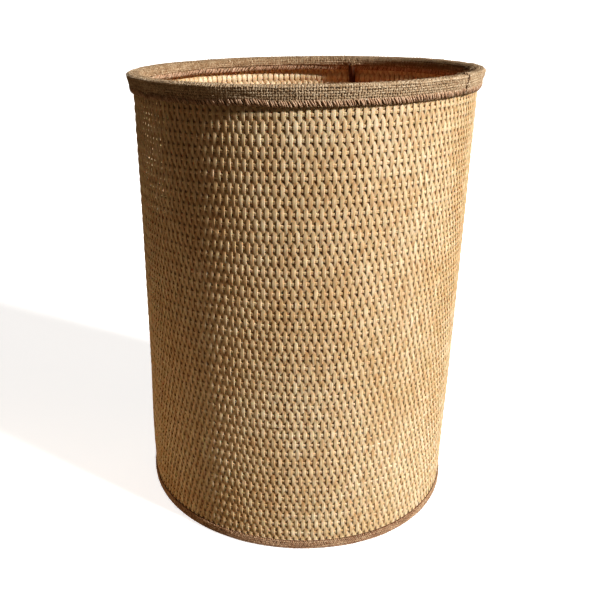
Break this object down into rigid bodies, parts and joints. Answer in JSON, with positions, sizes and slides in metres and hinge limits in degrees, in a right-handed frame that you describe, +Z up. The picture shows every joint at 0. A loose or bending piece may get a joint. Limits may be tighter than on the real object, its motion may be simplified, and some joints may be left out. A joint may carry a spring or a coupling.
{
  "type": "wastebasket",
  "caption": "Open round wastebasket of close-woven cane on a plywood base, with hessian tape bound over the rim and the bottom edge.",
  "frame": {"origin": "centre of the underside, where the basket stands on the floor", "axes": "+Z up along the basket's axis, out of its mouth; +Y towards the back, where the woven sheet's seam is; +X to the right seen from the front"},
  "size_m": [0.254, 0.254, 0.33],
  "materials": {
    "cane": "satin",
    "seam_splint": "matt",
    "hoop_rattan": "satin",
    "plywood": "matt",
    "rim_hessian": "coarse weave",
    "foot_hessian": "coarse weave",
    "tack_steel": "satin"
  },
  "bodies": {
    "root": {"woven_wall": "cane", "seam_batten": "seam_splint", "seam_stitches": "cane", "rim_hoop_outer": "hoop_rattan", "rim_hoop_inner": "hoop_rattan", "rim_tacks": "tack_steel", "rim_binding": "rim_hessian", "base_disc": "plywood", "base_tacks": "tack_steel", "foot_hoop": "hoop_rattan", "foot_binding": "foot_hessian"}
  },
  "joints": []
}
